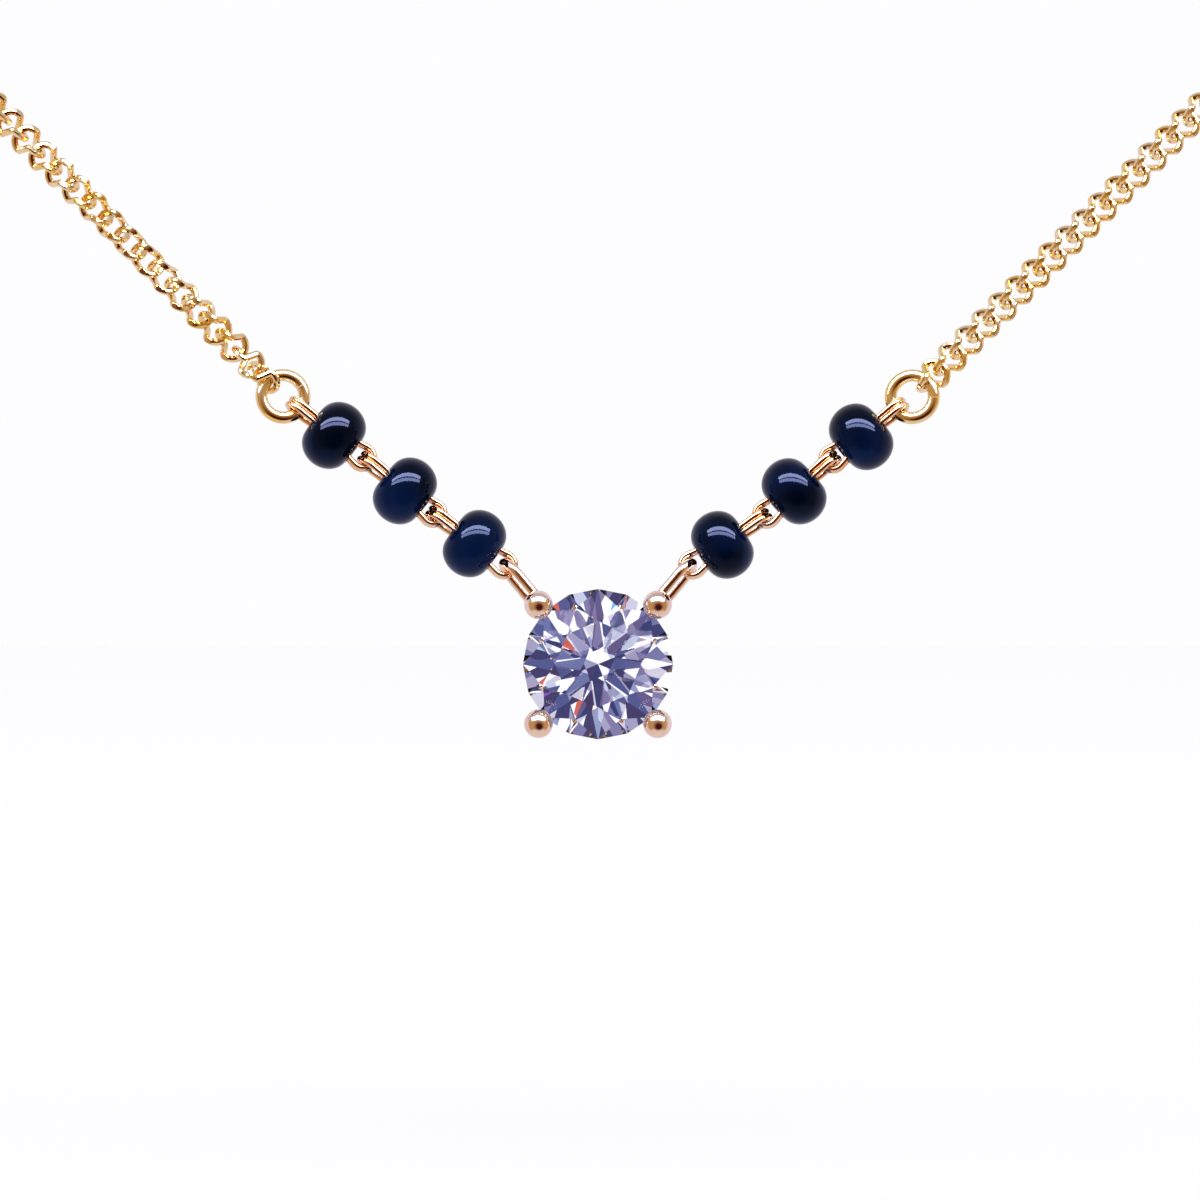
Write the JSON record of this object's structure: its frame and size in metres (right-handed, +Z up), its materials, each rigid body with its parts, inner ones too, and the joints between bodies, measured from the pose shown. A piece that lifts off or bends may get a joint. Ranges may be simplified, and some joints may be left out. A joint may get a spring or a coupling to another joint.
{
  "type": "mangalsutra",
  "caption": "Mangalsutra with a claw-set round stone hung between strings of black beads on wire links, on a fine curb chain that closes at the nape.",
  "frame": {"origin": "middle of the clasp at the nape, where the necklace lies on the back of the neck", "axes": "+Z up, -Y towards the viewer who faces the stone, +X to that viewer's right"},
  "size_m": [0.1242, 0.1207, 0.1021],
  "materials": {
    "stone": "colourless brilliant, polished facets",
    "gold": "polished warm yellow gold",
    "chain": "polished warm yellow gold, flats on the links",
    "bead": "opaque black glass with a dark blue cast, glossy"
  },
  "bodies": {
    "necklace": {"bead_left_1": "bead", "bead_left_2": "bead", "bead_left_3": "bead", "bead_right_1": "bead", "bead_right_2": "bead", "bead_right_3": "bead", "bead_link_left_1": "gold", "bead_link_left_2": "gold", "bead_link_left_3": "gold", "bead_link_right_1": "gold", "bead_link_right_2": "gold", "bead_link_right_3": "gold", "jump_ring_left": "gold", "jump_ring_right": "gold", "chain_front_left": "chain", "chain_front_right": "chain", "chain_back_left": "chain", "chain_back_right": "chain", "clasp": "gold"},
    "pendant": {"stone": "stone", "solitaire_setting": "gold"}
  },
  "joints": [
    {"name": "pendant_swing", "type": "hinge", "parent": "necklace", "child": "pendant", "pos_m": [0, -0.118, -0.0918], "axis": [1, 0, 0], "range_deg": [-18, 18]}
  ]
}
